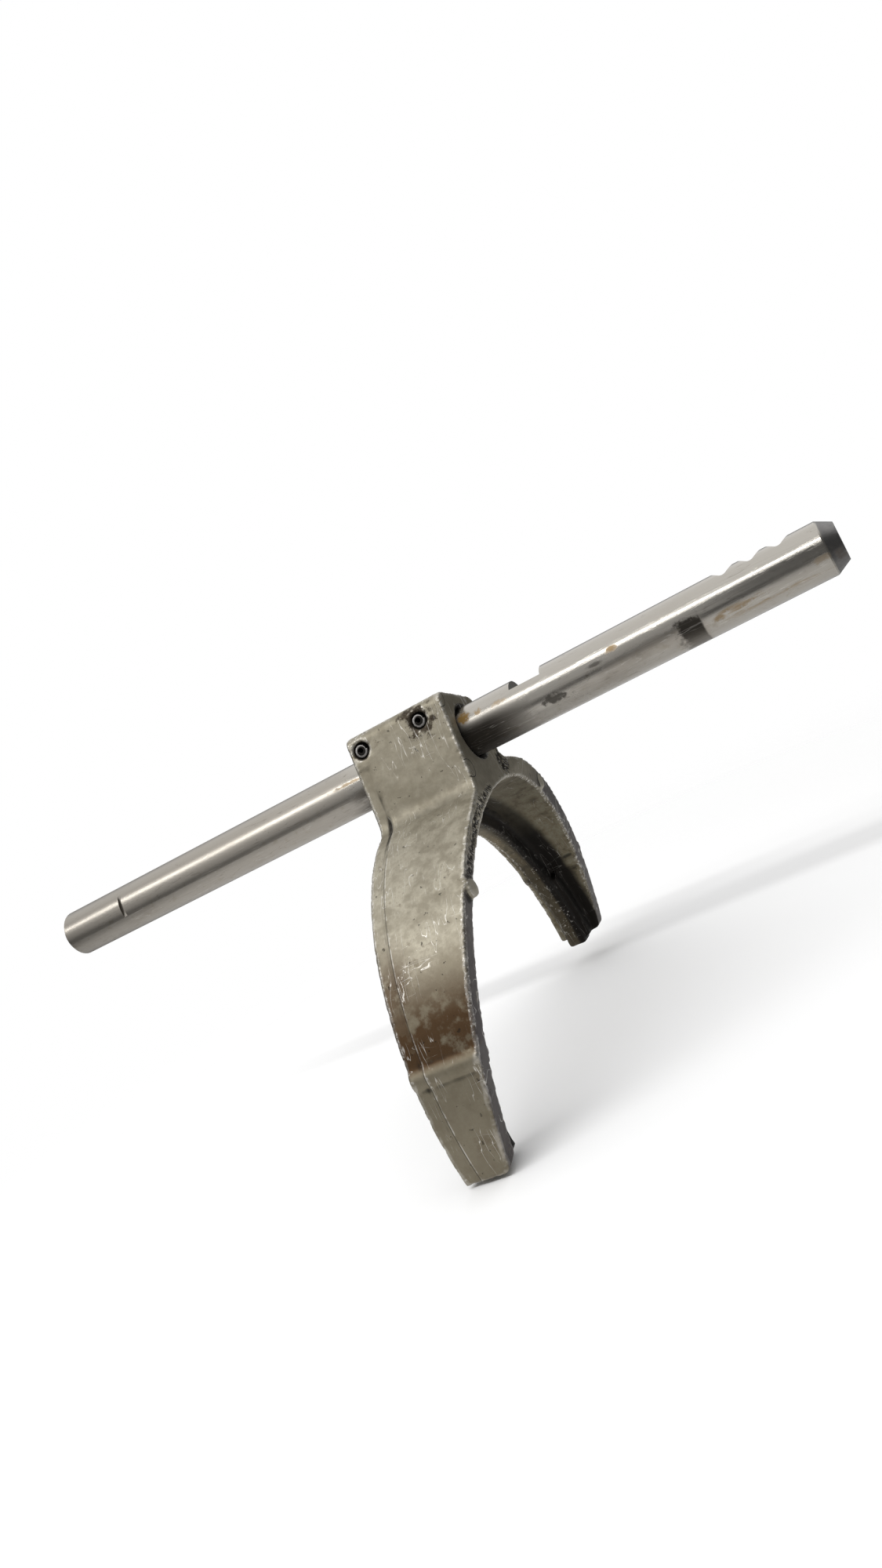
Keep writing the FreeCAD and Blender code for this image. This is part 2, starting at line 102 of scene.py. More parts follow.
# Radii and half widths of the casting, in millimetres.
BORE_EDGE = 9.7
ARM_INNER = 71.9
GROOVE_MOUTH = 71.0
LIP_MOUTH = 70.5
LIP_HALF = 3.8

# Round marks of the mould: y and z of their middles, and their radii, in millimetres.
EJECTOR_MARKS, EJECTOR_RADIUS = ((-10.7, 14.1), (-16.2, -8.2)), 2.9
BUTTONS, BUTTON_RADIUS = ((43.9, -29.0), (-50.3, -34.3)), 3.0

# Grime round the back and the front pin: how far it reaches in millimetres, and its strength.
PIN_GRIME = ((3.1, 0.95), (5.6, 1.0))
PIN_HOLE_EDGE = 2.6

# Broken gates on the front, in millimetres: the hub's middle and reach in y and z, and the arm's
# top and foot below the rail's axis and its half width.
HUB_GATE, HUB_GATE_REACH = (12.0, -13.6), (4.0, 5.4)
ARM_GATE_TOP, ARM_GATE_FOOT, ARM_GATE_HALF = 15, 35, 2.2

# The camera's place in metres, and its own right and up.
CAMERA_PLACE = (0.14844, -0.3335, 0.02316)
CAMERA_RIGHT = (0.8258, 0.2961, -0.4800)
CAMERA_UP = (0.4138, 0.2601, 0.8725)

# Lamps: name, place and size in metres, and share of the key light's power.
LAMPS = (
    ("key", (-0.40, -0.57, 0.70), (1.4, 0.06), 1.0),
    ("edge", (-0.40, -0.67, 0.60), (1.4, 0.02), 0.15),
    ("fill", (-0.60, -0.80, 0.45), (1.20, 1.20), 0.48),
)


def middle_of(node):
    """The middle of a CAD node's box."""
    low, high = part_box(node)
    return (low + high) / 2


def boss_square(y, z):
    """Sideways and upright distances from the rail's axis, square to the boss."""
    return y * BOSS_UP.z - z * BOSS_UP.y, z * BOSS_UP.z + y * BOSS_UP.y


class ForkSizes(bpy.types.PropertyGroup):
    """Sizes of the looks; the parts' own sizes come from the frame."""

    skin_pitch: FloatProperty(
        name="Skin pitch", description="Mesh spacing of the cast skin",
        default=0.00058, min=0.0003, unit="LENGTH",
    )
    edge_passes: IntProperty(
        name="Edge passes", description="Smoothing passes that round the cast edges", default=3, min=0,
    )
    skin_swell: FloatProperty(
        name="Skin swell", description="Height of the casting's unevenness",
        default=0.00007, unit="LENGTH",
    )
    parting_place: FloatProperty(
        name="Parting line", description="Distance of the parting line from the flat back",
        default=0.0052, unit="LENGTH",
    )
    parting_step: FloatProperty(
        name="Parting step", description="Step at the parting line along the arms",
        default=0.00018, unit="LENGTH",
    )
    neck_step: FloatProperty(
        name="Step at the neck", description="Extra step at the parting line beside the boss",
        default=0.00055, unit="LENGTH",
    )
    gate_height: FloatProperty(
        name="Broken gates", description="Roughness of the broken gates on the front",
        default=0.0007, unit="LENGTH",
    )
    sleeve_drop: FloatProperty(
        name="Sleeve drop", description="Rail axis to sleeve axis", default=0.0894, unit="LENGTH",
    )
    arm_middle: FloatProperty(
        name="Arm radius", description="Sleeve axis to the middle of the arms",
        default=0.07465, unit="LENGTH",
    )
    rail_edge: FloatProperty(
        name="Rail edges", description="Rounding of the rail's machined edges",
        default=0.00018, unit="LENGTH",
    )
    swage_depth: FloatProperty(
        name="Swage", description="How far a pin's ends are closed in", default=0.0005, unit="LENGTH",
    )
    swage_length: FloatProperty(
        name="Swage length", description="Length of a pin's closed-in ends", default=0.0013, unit="LENGTH",
    )
    floor_reach: FloatProperty(
        name="Floor", description="Radius of the floor", default=0.75, unit="LENGTH",
    )
    lens: FloatProperty(name="Lens", description="Focal length", default=26.64, unit="CAMERA")
    key_power: FloatProperty(
        name="Key light", description="Power of the key light", default=5.2, unit="POWER",
    )


def colour(name, description, default):
    """A colour property."""
    return FloatVectorProperty(name=name, description=description, default=default, subtype="COLOR", size=3)


class ForkColours(bpy.types.PropertyGroup):
    """Finish colours of the steel, the casting and the floor."""

    steel: colour("Steel", "Ground steel", (0.35, 0.332, 0.300))
    steel_film: colour("Oil film", "Dried oil on the steel", (0.262, 0.238, 0.205))
    # steel_black is soot on the steel, and also painted shade on the rail beside the boss.
    steel_black: colour("Soot", "Black oil on the steel", (0.016, 0.013, 0.010))
    rust: colour("Rust", "Rust on the steel", (0.22, 0.125, 0.022))
    dust: colour("Dust", "Dust in the oil on the steel", (0.20, 0.17, 0.12))
    bright_scratch: colour("Bright scratches", "Fresh scratches on the steel", (0.62, 0.60, 0.56))
    dark_scratch: colour("Dark scratches", "Old scratches on the steel", (0.12, 0.10, 0.08))
    cone: colour("Cone", "Turned cone on the rail's end", (0.10, 0.10, 0.105))
    alloy: colour("Alloy", "Clean cast alloy", (0.39, 0.362, 0.29))
    alloy_dull: colour("Dull alloy", "Oxidised cast alloy", (0.20, 0.178, 0.132))
    # alloy_worn_and_highlight is also the colour of painted highlights: glints on the groove's lips and a
    # bright line at the parting step.
    alloy_worn_and_highlight: colour("Worn alloy", "Rubbed edges of the casting", (0.62, 0.60, 0.56))
    alloy_speck: colour("Alloy specks", "Fine specks in the cast skin", (0.26, 0.23, 0.18))
    blotch: colour("Blotches", "Dark blotches on the casting", (0.13, 0.105, 0.07))
    olive: colour("Olive oil film", "Thin dried oil on the casting", (0.135, 0.113, 0.074))
    freckle: colour("Freckles", "Pale freckles inside the far arm", (0.20, 0.19, 0.14))
    dark_film: colour("Dark film", "Dark oil inside the far arm", (0.055, 0.046, 0.030))
    lip_brown: colour("Lips", "Brown oil on the groove's lips", (0.13, 0.092, 0.042))
    brown: colour("Burnt oil", "Burnt oil on the casting", (0.064, 0.034, 0.014))
    # front_shade is painted shade on the fronts of the arms, the faces that look away from the light.
    front_shade: colour("Front", "Dark skin on the front of the arms", (0.052, 0.045, 0.047))
    # grime_and_shade is grime, and also painted shade: in the bore's mouth, along the parting step and round
    # the buttons.
    grime_and_shade: colour("Grime", "Black grime in the corners", (0.013, 0.011, 0.009))
    pin_grime: colour("Pin grime", "Dark oil round the pins", (0.030, 0.021, 0.013))
    pin_steel: colour("Pin steel", "Spring steel strip", (0.24, 0.23, 0.22))
    pin_oil: colour("Pin oil", "Black oil inside the pins", (0.012, 0.011, 0.010))
    floor: colour("Floor", "Pale floor", (0.88, 0.88, 0.88))


class Wire:
    """A socket of a node tree, so that shader maths reads as Python."""

    def __init__(self, paint, socket):
        self.paint = paint
        self.socket = socket

    def maths(self, operation, *values):
        return self.paint.add("ShaderNodeMath", {"operation": operation}, dict(enumerate(values)))

    def __add__(self, other):
        return self.maths("ADD", self, other)

    __radd__ = __add__

    def __sub__(self, other):
        return self.maths("SUBTRACT", self, other)

    def __rsub__(self, other):
        return self.maths("SUBTRACT", other, self)

    def __mul__(self, other):
        return self.maths("MULTIPLY", self, other)

    __rmul__ = __mul__

    def __truediv__(self, other):
        return self.maths("DIVIDE", self, other)

    def __rtruediv__(self, other):
        return self.maths("DIVIDE", other, self)

    def __pow__(self, other):
        return self.maths("POWER", self, other)

    def __abs__(self):
        return self.maths("ABSOLUTE", self)

    def most(self, other):
        return self.maths("MAXIMUM", self, other)

    def least(self, other):
        return self.maths("MINIMUM", self, other)

    def rise(self, low, high):
        """0 below low, 1 above high, smooth between; low above high turns it round."""
        inputs = {"Value": self, "From Min": low, "From Max": high}
        return self.paint.add("ShaderNodeMapRange", {"interpolation_type": "SMOOTHSTEP"}, inputs)


class Paint:
    """A node tree being written: every node comes from add()."""

    def __init__(self, owner):
        owner.use_nodes = True
        self.owner = owner
        self.tree = owner.node_tree
        self.tree.nodes.clear()

    def add(self, kind, settings=None, inputs=None, output=0):
        node = self.tree.nodes.new(kind)
        for key, value in (settings or {}).items():
            setattr(node, key, value)
        for key, value in (inputs or {}).items():
            if isinstance(value, Wire):
                self.tree.links.new(value.socket, node.inputs[key])
            else:
                node.inputs[key].default_value = value
        return Wire(self, node.outputs[output]) if node.outputs else node

    def place(self):
        """Object coordinates, and x, y, z in millimetres."""
        where = self.add("ShaderNodeTexCoord", output="Object")
        axes = [self.add("ShaderNodeSeparateXYZ", inputs={0: where}, output=i) / MM for i in range(3)]
        return where, *axes

    def attribute(self, name):
        return self.add("ShaderNodeAttribute", {"attribute_name": name}, output="Fac")

    def stretch(self, where, factors):
        return self.add("ShaderNodeVectorMath", {"operation": "MULTIPLY"}, {0: where, 1: factors})

    def noise(self, where, scale, detail=4.0, roughness=0.55, distortion=0.0):
        inputs = {
            "Vector": where, "Scale": scale, "Detail": detail,
            "Roughness": roughness, "Distortion": distortion,
        }
        return self.add("ShaderNodeTexNoise", inputs=inputs)

    def scratch(self, where, factors, scale, width):
        """Thin lines along one way, where a stretched noise crosses its middle."""
        wave = self.noise(self.stretch(where, factors), scale, 2.0, 0.4)
        return 1 - abs(wave - 0.5).rise(0.0, width)

    def mix(self, factor, under, over):
        inputs = {0: factor, 6: rgba(under), 7: rgba(over)}
        return self.add("ShaderNodeMix", {"data_type": "RGBA"}, inputs, output=2)

    def bump(self, height, strength, distance, under=None):
        inputs = {"Strength": strength, "Distance": distance, "Height": height}
        if under is not None:
            inputs["Normal"] = under
        return self.add("ShaderNodeBump", inputs=inputs)

    def surface(self, shader):
        self.add("ShaderNodeOutputMaterial", inputs={"Surface": shader})
        return self.owner

    def principled(self, base, roughness, normal, metallic):
        inputs = {"Base Color": base, "Roughness": roughness, "Normal": normal, "Metallic": metallic}
        return self.surface(self.add("ShaderNodeBsdfPrincipled", inputs=inputs))


def rgba(value):
    """A colour socket's value; a wire passes through."""
    return value if isinstance(value, Wire) else (*value, 1.0)


def new_paint(name):
    return Paint(bpy.data.materials.new(name))


def most_of(wires):
    """The greatest of several wires."""
    return reduce(Wire.most, wires)


def distance(first, second):
    """The length of a step with two square parts."""
    return (first ** 2 + second ** 2) ** 0.5


def pin_distances(x, up):
    """Distances from each pin's own axis, in millimetres."""
    hearts = [middle_of(node) / MM for node in PIN_NODES]
    return [distance(x - heart.x, up - boss_square(heart.y, heart.z)[1]) for heart in hearts]


def ground_steel(tints):
    """The rail: ground steel under a dried oil film, with soot, rust and scratches, and painted shade beside
    the boss.
    """
    paint = new_paint("ground_steel")
    where, x, y, z = paint.place()
    side, up = boss_square(y, z)
    near = 0 - side
    angle = near.maths("ARCTAN2", near, up) * math.degrees(1)
    low = angle.rise(88, 118)
    wander = paint.noise(where, 420, 6, 0.7) - 0.5
    cloud = paint.noise(paint.stretch(where, (0.35, 1, 1)), 90, 5, 0.6)
    fine = paint.noise(where, 700, 3, 0.6)

    def spot(place, turn, reach_along, reach_round, raggedness, strength):
        away = distance((x - place) / reach_along, (angle - turn) / reach_round)
        return (away + wander * raggedness).rise(1.2, 0.55) * strength

    film = low * cloud.rise(0.30, 0.62) * 0.75 + cloud.rise(0.5, 0.75) * 0.25
    film = film.most(x.rise(-8, -22) * (0.35 + cloud * 0.5))
    film = film * (1 - x.rise(POLISHED_FROM, POLISHED_FROM + 2) * 0.55)
    base = paint.mix(film, tints.steel, tints.steel_film)
    dust = paint.noise(where, 330, 4, 0.65).rise(0.55, 0.72) * 0.35 * low
    base = paint.mix(dust, base, tints.dust)
    band = (x + wander * 9).rise(SOOT_FROM, SOOT_FROM + 3) * (x + wander).rise(SOOT_TO, SOOT_TO - 0.7)
    band = band * (angle + wander * 60).rise(94, 106) * (1 - angle.rise(120, 165) * 0.45)
    speckle = x.rise(36, 46) * x.rise(92, 66) * angle.rise(98, 128) * cloud.rise(0.56, 0.68)
    # Beside the boss the rail is darkened in patches: soot, and painted shade where the boss shelters the
    # rail.
    by_boss_shade_and_soot = x.rise(54, 34) * angle.rise(60, 104) * x.rise(-9, -8)
    patches = by_boss_shade_and_soot * (cloud * 0.6 + fine * 0.4 + by_boss_shade_and_soot * 0.5).rise(0.40, 0.66)
    behind = x.rise(-22, -9) * angle.rise(80, 125) * x.rise(-8, -9)
    soot_and_shade = most_of([
        band * 0.97, patches, speckle * fine.rise(0.42, 0.55) * 0.7,
        behind * cloud.rise(0.35, 0.6) * 0.85, *(spot(*row) for row in SOOT_SPOTS),
    ])
    base = paint.mix(soot_and_shade * 0.93, base, tints.steel_black)
    streak = paint.noise(paint.stretch(where, (0.12, 1, 1)), 420, 3, 0.6)
    stains = x.rise(107, 111) * angle.rise(112, 122) * angle.rise(150, 136) * streak.rise(0.5, 0.62)
    rust = most_of([stains * 0.6, *(spot(*row) for row in RUST_SPOTS)])
    base = paint.mix(rust * fine.rise(0.3, 0.5), base, tints.rust)
    lines = paint.scratch(where, (0.06, 1, 1), 900, 0.012) * cloud.rise(0.4, 0.6)
    base = paint.mix(lines * 0.35 * low, base, tints.bright_scratch)
    dark_lines = paint.scratch(where, (0.08, 1, 1), 640, 0.010) * cloud.rise(0.62, 0.45)
    base = paint.mix(dark_lines * 0.4, base, tints.dark_scratch)
    cone = x.rise(RAIL_END - CONE_LENGTH, RAIL_END - CONE_LENGTH + 0.4)
    base = paint.mix(cone * (0.55 + fine * 0.4), base, tints.cone)
    rough = 0.145 + film * 0.24 + soot_and_shade * 0.35 + rust * 0.4 + fine * 0.05 + cone * 0.15
    grinding = paint.noise(paint.stretch(where, (1, 0.03, 0.03)), 3200, 2, 0.7)
    normal = paint.bump(grinding, 0.02, 0.00001)
    normal = paint.bump(lines - dark_lines, 0.25, 0.00002, normal)
    return paint.principled(base, rough, normal, 1 - rust * 0.7)


class CastWires:
    """What the casting's finish is written with: places in millimetres, noises and masks."""

    def __init__(self, paint, sizes):
        self.where, self.x, self.y, self.z = paint.place()
        self.side, self.up = boss_square(self.y, self.z)
        self.radius = distance(self.y, self.z + sizes.sleeve_drop / MM)
        self.large = paint.noise(self.where, 75, 5, 0.6)
        self.middle = paint.noise(self.where, 260, 5, 0.62)
        self.fine = paint.noise(self.where, 1100, 4, 0.65)
        self.worn = paint.attribute("worn")
        self.packed = paint.attribute("packed")
        self.front = paint.attribute("front")
        self.near = self.y.rise(-18, -30)
        self.inside = self.radius.rise(ARM_INNER, ARM_INNER - 0.7) * self.y.rise(10, 20)
        self.lip = self.radius.rise(LIP_MOUTH, LIP_MOUTH - 1.5) * abs(self.x).rise(LIP_HALF, LIP_HALF - 0.6)


def thin_oil(cast):
    """Thin dried oil, low on the near arm and inside the far arm."""
    film = cast.near * cast.z.rise(-34, -60) * (0.25 + cast.large * 0.35 + cast.middle * 0.45)
    return film.most(cast.inside * (0.80 + cast.large * 0.3))


def burnt_oil(cast):
    """Burnt oil on the near arm, down to the clean foot, and along the arm's back edge."""
    x, z, near, large, middle = cast.x, cast.z, cast.near, cast.large, cast.middle
    foot = near * z.rise(-66.5, -69.5)
    above_foot = 1 - foot
    cloudy = (large * 0.6 + middle * 0.7).rise(0.50, 0.68)
    patch = near * z.rise(-40, -58) * (large * 0.7 + middle * 0.5).rise(0.40, 0.57)
    ledge = x.rise(4, -6) * near * z.rise(-44, -62) * above_foot
    return most_of([
        patch * above_foot * (0.40 + z.rise(-50, -64) * 0.35 + cloudy * 0.35),
        x.rise(-2.4, -3.4) * near * z.rise(-44, -58) * above_foot * 0.8,
        ledge * middle.rise(0.28, 0.55),
        foot * large.rise(0.5, 0.75) * 0.35,
        x.rise(6, -3) * near * z.rise(-34, -48) * above_foot * cloudy * 0.75,
    ]).least(0.96)


def groove_grime(cast):
    """Grime in the groove under the arms, thicker towards the tips, and on its lips."""
    width = abs(cast.x)
    groove = cast.radius.rise(GROOVE_MOUTH, GROOVE_MOUTH - 1.5) * width.rise(9.5, 5.5) * width.rise(2.6, 3.3)
    edge = cast.radius.rise(ARM_INNER, ARM_INNER - 0.5) * abs(cast.x - 5.5).rise(6.5, 3.0) * 0.9
    deep = groove.most(edge) * (0.55 + cast.large * 0.45 + cast.z.rise(-28, -58) * 0.5)
    return deep.most(cast.lip * cast.z.rise(-42, -62) * (0.35 + cast.middle * 0.5))


def pin_grime(cast):
    """Ragged rings of grime round the pins, on the boss's two sides."""
    rings = []
    for away, (reach, strength) in zip(pin_distances(cast.x, cast.up), PIN_GRIME):
        spread = reach - PIN_HOLE_EDGE
        ragged = away + (cast.middle - 0.5) * spread * 5
        ring = ragged.rise(reach, reach - 0.2 - spread * 0.5)
        rings.append(ring * strength * abs(cast.side).rise(12, 14))
    return most_of(rings)


def cast_alloy(tints, sizes):
    """The casting: mottled die-cast skin, rubbed edges, burnt oil and grime, with painted shade and painted
    highlights.
    """
    paint = new_paint("cast_alloy")
    cast = CastWires(paint, sizes)
    where, x, y, z, up = cast.where, cast.x, cast.y, cast.z, cast.up
    large, middle, fine, inside, lip = cast.large, cast.middle, cast.fine, cast.inside, cast.lip
    mottle = large.rise(0.32, 0.68) * 0.5 + middle.rise(0.36, 0.64) * 0.5
    base = paint.mix(mottle, tints.alloy_dull, tints.alloy)
    base = paint.mix(fine.rise(0.45, 0.7) * 0.35, base, tints.alloy_speck)
    base = paint.mix(up.rise(-24, -13) * (0.35 + large * 0.4), base, tints.alloy_dull)
    olive = thin_oil(cast)
    base = paint.mix(olive, base, tints.olive)
    freckles = inside * (middle * 0.6 + fine * 0.5).rise(0.50, 0.66)
    base = paint.mix(freckles * 0.55, base, tints.freckle)
    base = paint.mix(inside * middle.rise(0.47, 0.33) * 0.6, base, tints.dark_film)
    burnt = burnt_oil(cast)
    base = paint.mix(burnt, base, tints.brown)
    # Painted shade: faces of the arms that look along the rail, away from the light, are darkened and made
    # less metallic.
    shaded = cast.front * z.rise(-20, -34) * (0.72 + middle * 0.35)
    base = paint.mix(shaded.least(0.95), base, tints.front_shade)
    blotch = middle.rise(0.57, 0.70) * large.rise(0.5, 0.6)
    base = paint.mix(blotch * 0.6, base, tints.blotch)
    base = paint.mix(lip * middle.rise(0.35, 0.65) * 0.6, base, tints.lip_brown)
    throat = groove_grime(cast)
    rings = pin_grime(cast)
    base = paint.mix((rings * (0.45 + fine * 0.9)).least(0.96), base, tints.pin_grime)
    pores = paint.noise(where, 620, 2, 0.5).rise(0.69, 0.74)
    # Grime in corners, pores and the groove, with painted shade in the bore's mouth.
    dirt_and_shade = most_of([
        cast.packed.rise(0.12, 0.75) * (0.5 + middle * 0.8), pores * 0.55, throat,
        # Painted shade: the mouth of the bore is darkened where the gap round the rail lies.
        distance(y, z).rise(BORE_EDGE, BORE_EDGE - 0.4) * 0.97,
    ])
    base = paint.mix(dirt_and_shade.least(1.0), base, tints.grime_and_shade)
    clear = (1 - rings) * (1 - throat)
    rub = cast.worn.rise(0.35, 0.9) * middle.rise(0.35, 0.6) * clear
    chips = (cast.worn + middle * 0.7).rise(0.88, 0.98) * fine.rise(0.5, 0.6) * clear * z.rise(-92, -60)
    nicks = paint.scratch(where, (1, 0.25, 0.12), 420, 0.011) * large.rise(0.48, 0.6)
    nicks = nicks.most(paint.scratch(where, (0.2, 1, 1), 300, 0.006) * large.rise(0.55, 0.66))
    # glints are painted highlights: bright specks on the lower lips of the groove, mixed in with the rubbed
    # edges.
    glints = lip * z.rise(-30, -50) * (fine * 0.7 + middle * 0.4).rise(0.63, 0.70)
    bright = most_of([
        rub * (0.30 - y.rise(0, 20) * 0.17), chips * 0.62, nicks * (0.7 - inside * 0.35), glints * 0.4,
    ])
    base = paint.mix(bright, base, tints.alloy_worn_and_highlight)
    # Painted shade and light at the parting step: a dark line along the step and a broken bright line just
    # in front of it.
    past_line = x - (BOSS_BACK + sizes.parting_place / MM)
    moulded = cast.near * cast.radius.rise(73, 76) * up.rise(2.0, 1.0)
    parting_shade = abs(past_line).rise(0.22, 0.05) * moulded
    parting_highlight = abs(past_line - 0.35).rise(0.28, 0.06) * moulded * middle.rise(0.4, 0.6)
    base = paint.mix(parting_shade * 0.6, base, tints.grime_and_shade)
    base = paint.mix(parting_highlight * 0.5, base, tints.alloy_worn_and_highlight)
    rims = []
    for mark_y, mark_z in EJECTOR_MARKS:
        rim = abs(distance(y - mark_y, z - mark_z) - EJECTOR_RADIUS).rise(0.28, 0.05)
        rims.append(rim * x.rise(BOSS_FRONT - 0.8, BOSS_FRONT - 0.3))
    # Painted light and shade on the mould's buttons: each face is lightened to clean alloy and its rim
    # darkened.
    for mark_y, mark_z in BUTTONS:
        away = distance(y - mark_y, z - mark_z)
        button_light = away.rise(BUTTON_RADIUS - 0.3, BUTTON_RADIUS - 0.7) * cast.front
        base = paint.mix(button_light * 0.8, base, tints.alloy)
        rims.append(abs(away - BUTTON_RADIUS).rise(0.4, 0.1) * cast.front)
    mark = most_of(rims)
    base = paint.mix(mark * 0.85, base, tints.grime_and_shade)
    rough = 0.49 + fine * 0.14 - bright * 0.22 + burnt * 0.06 + dirt_and_shade * 0.1 - olive * 0.05
    normal = paint.bump(fine * 0.5 + middle, 0.35, 0.00006)
    normal = paint.bump(0 - pores - mark, 0.6, 0.00012, normal)
    normal = paint.bump(chips - nicks, 0.4, 0.00005, normal)
    return paint.principled(base, rough, normal, 0.86 - shaded * 0.2)


def coiled_strip(tints):
    """The pins: spring steel strip, bright on its ends and black with oil inside."""
    paint = new_paint("spring_steel")
    where, x, y, z = paint.place()
    side, up = boss_square(y, z)
    fine = paint.noise(where, 1500, 3, 0.6)
    tip = abs(side).rise(13.75, 14.0)
    away = reduce(Wire.least, pin_distances(x, up))
    rim = tip * away.rise(1.35, 1.6) * fine.rise(0.25, 0.45)
    base = paint.mix(rim * 0.95, tints.pin_oil, tints.pin_steel)
    normal = paint.bump(fine, 0.2, 0.00003)
    return paint.principled(base, 0.34 + fine * 0.15, normal, 0.6 + tip * 0.4)


def merged_copy(node, name):
    """A copy of a CAD node's mesh with its loose triangles joined."""
    mesh = frame["nodes"][node].data.copy()
    mesh.name = name
    mesh.materials.clear()
    shape = bmesh.new()
    shape.from_mesh(mesh)
    bmesh.ops.remove_doubles(shape, verts=shape.verts, dist=1e-6)
    shape.to_mesh(mesh)
    shape.free()
    piece = bpy.data.objects.new(name, mesh)
    bpy.context.scene.collection.objects.link(piece)
    return piece


def apply_modifiers(piece):
    """Bakes a piece's modifiers into its mesh."""
    graph = bpy.context.evaluated_depsgraph_get()
    baked = bpy.data.meshes.new_from_object(piece.evaluated_get(graph))
    old = piece.data
    piece.modifiers.clear()
    piece.data = baked
    bpy.data.meshes.remove(old)


def hand_over(piece, node, material):
    """Puts a finished piece in a CAD node's place."""
    piece.data.materials.clear()
    piece.data.materials.append(material)
    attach(piece, "root")
    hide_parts(node)


def soften_edges(piece, width, angle):
    """Joins flat facets, then rounds every edge sharper than the angle, in degrees."""
    shape = bmesh.new()
    shape.from_mesh(piece.data)
    bmesh.ops.dissolve_limit(
        shape, angle_limit=math.radians(0.4), verts=shape.verts, edges=shape.edges,
    )
    sharp = [e for e in shape.edges if e.is_manifold and e.calc_face_angle() > math.radians(angle)]
    bmesh.ops.bevel(
        shape, geom=sharp, offset=width, offset_type="OFFSET", segments=2, profile=0.5,
        affect="EDGES", material=-1, clamp_overlap=True, loop_slide=True,
    )
    bmesh.ops.triangulate(shape, faces=[f for f in shape.faces if len(f.verts) > 4])
    shape.to_mesh(piece.data)
    shape.free()
    piece.data.polygons.foreach_set("use_smooth", [True] * len(piece.data.polygons))
    piece.data.set_sharp_from_angle(angle=math.radians(38))
    weigh = piece.modifiers.new("even_shading", "WEIGHTED_NORMAL")
    weigh.keep_sharp = True


def smooth_between(value, low, high):
    """0 at low, 1 at high, smooth between, for arrays."""
    share = np.clip((value - low) / (high - low), 0.0, 1.0)
    return share * share * (3 - 2 * share)


class Skin:
    """The casting's mesh as arrays, in millimetres, so that its skin can be worked."""

    def __init__(self, mesh):
        self.mesh = mesh
        count = len(mesh.vertices)
        flat = np.empty(count * 3)
        mesh.vertices.foreach_get("co", flat)
        self.places = flat.reshape(-1, 3) / MM
        links = np.empty(len(mesh.edges) * 2, dtype=np.int64)
        mesh.edges.foreach_get("vertices", links)
        self.links = links.reshape(-1, 2)
        self.neighbours = np.bincount(links, minlength=count)

    def normals(self):
        flat = np.empty(len(self.mesh.vertices) * 3)
        self.mesh.vertices.foreach_get("normal", flat)
        return flat.reshape(-1, 3)

    def average(self, values):
        """The mean of each point's neighbours."""
        first, second = self.links.T
        total = np.zeros_like(values)
        for near, far in ((first, second), (second, first)):
            for column in range(values.shape[1]):
                total[:, column] += np.bincount(near, values[far, column], len(values))
        return total / self.neighbours[:, None]

    def noise(self, scale, octaves=1):
        """Noise between about -1 and 1 at every point, features of the given size in mm."""
        return np.array([noise.fractal(Vector(p) / scale, 1.0, 2.0, octaves) for p in self.places])

    def keep(self):
        self.mesh.vertices.foreach_set("co", (self.places * MM).ravel())
        self.mesh.update()


def step_at_parting(skin, sizes):
    """Sets the casting back behind its parting line, most of all at the boss's neck."""
    drop = sizes.sleeve_drop / MM
    middle = sizes.arm_middle / MM
    x, y, z = skin.places.T
    line = BOSS_BACK + sizes.parting_place / MM
    behind = smooth_between(-x, -line - 0.1, -line + 0.45)
    side, upright = boss_square(y, z)
    neck = np.exp(-((upright + 17.0) / 7.0) ** 2)
    depth = (sizes.parting_step + sizes.neck_step * neck) / MM * behind
    on_boss = smooth_between(upright, -14, -8)
    started = 1 - smooth_between(upright, 1.0, 2.0)
    radius = np.hypot(y, z + drop)
    outward = np.stack([np.zeros_like(x), y / radius, (z + drop) / radius], 1)
    outer = smooth_between(radius, middle + 0.6, middle + 3.0) * (1 - on_boss)
    skin.places -= outward * (depth * outer)[:, None]
    near_side = np.array([0.0, -BOSS_UP.z, BOSS_UP.y])
    on_side = smooth_between(-side, 12.6, 14.2) * on_boss * started
    skin.places -= near_side * (depth * on_side)[:, None]
    skin.keep()


def roughen(skin, sizes):
    """Uneven cast skin with broken gates on the front; gives how broken each point is."""
    normals = skin.normals()
    y, z = skin.places.T[1:]
    swell = sizes.skin_swell / MM
    lift = swell * (skin.noise(7.0) + 0.5 * skin.noise(2.2))
    bore = smooth_between(np.hypot(y, z), 8.6, 9.4)
    facing = smooth_between(normals[:, 0], 0.7, 0.95)
    across = (np.stack([y, z], 1) - HUB_GATE) / HUB_GATE_REACH
    gate = np.exp(-(across ** 2).sum(1) ** 2)
    along = smooth_between(-z, ARM_GATE_TOP, ARM_GATE_TOP + 3)
    along *= (1 - smooth_between(-z, ARM_GATE_FOOT - 4, ARM_GATE_FOOT)) * (y < -8)
    mid = np.hypot(y, z + sizes.sleeve_drop / MM) - sizes.arm_middle / MM
    strip = along * np.exp(-((mid + 0.3) / ARM_GATE_HALF) ** 2)
    broken = np.maximum(gate, strip) * facing
    crumbs = skin.noise(1.1, 2) + 0.5 * skin.noise(2.6)
    lift += broken * sizes.gate_height / MM * (crumbs * 0.8 - 0.25)
    skin.places += normals * (lift * bore)[:, None]
    skin.keep()
    return broken


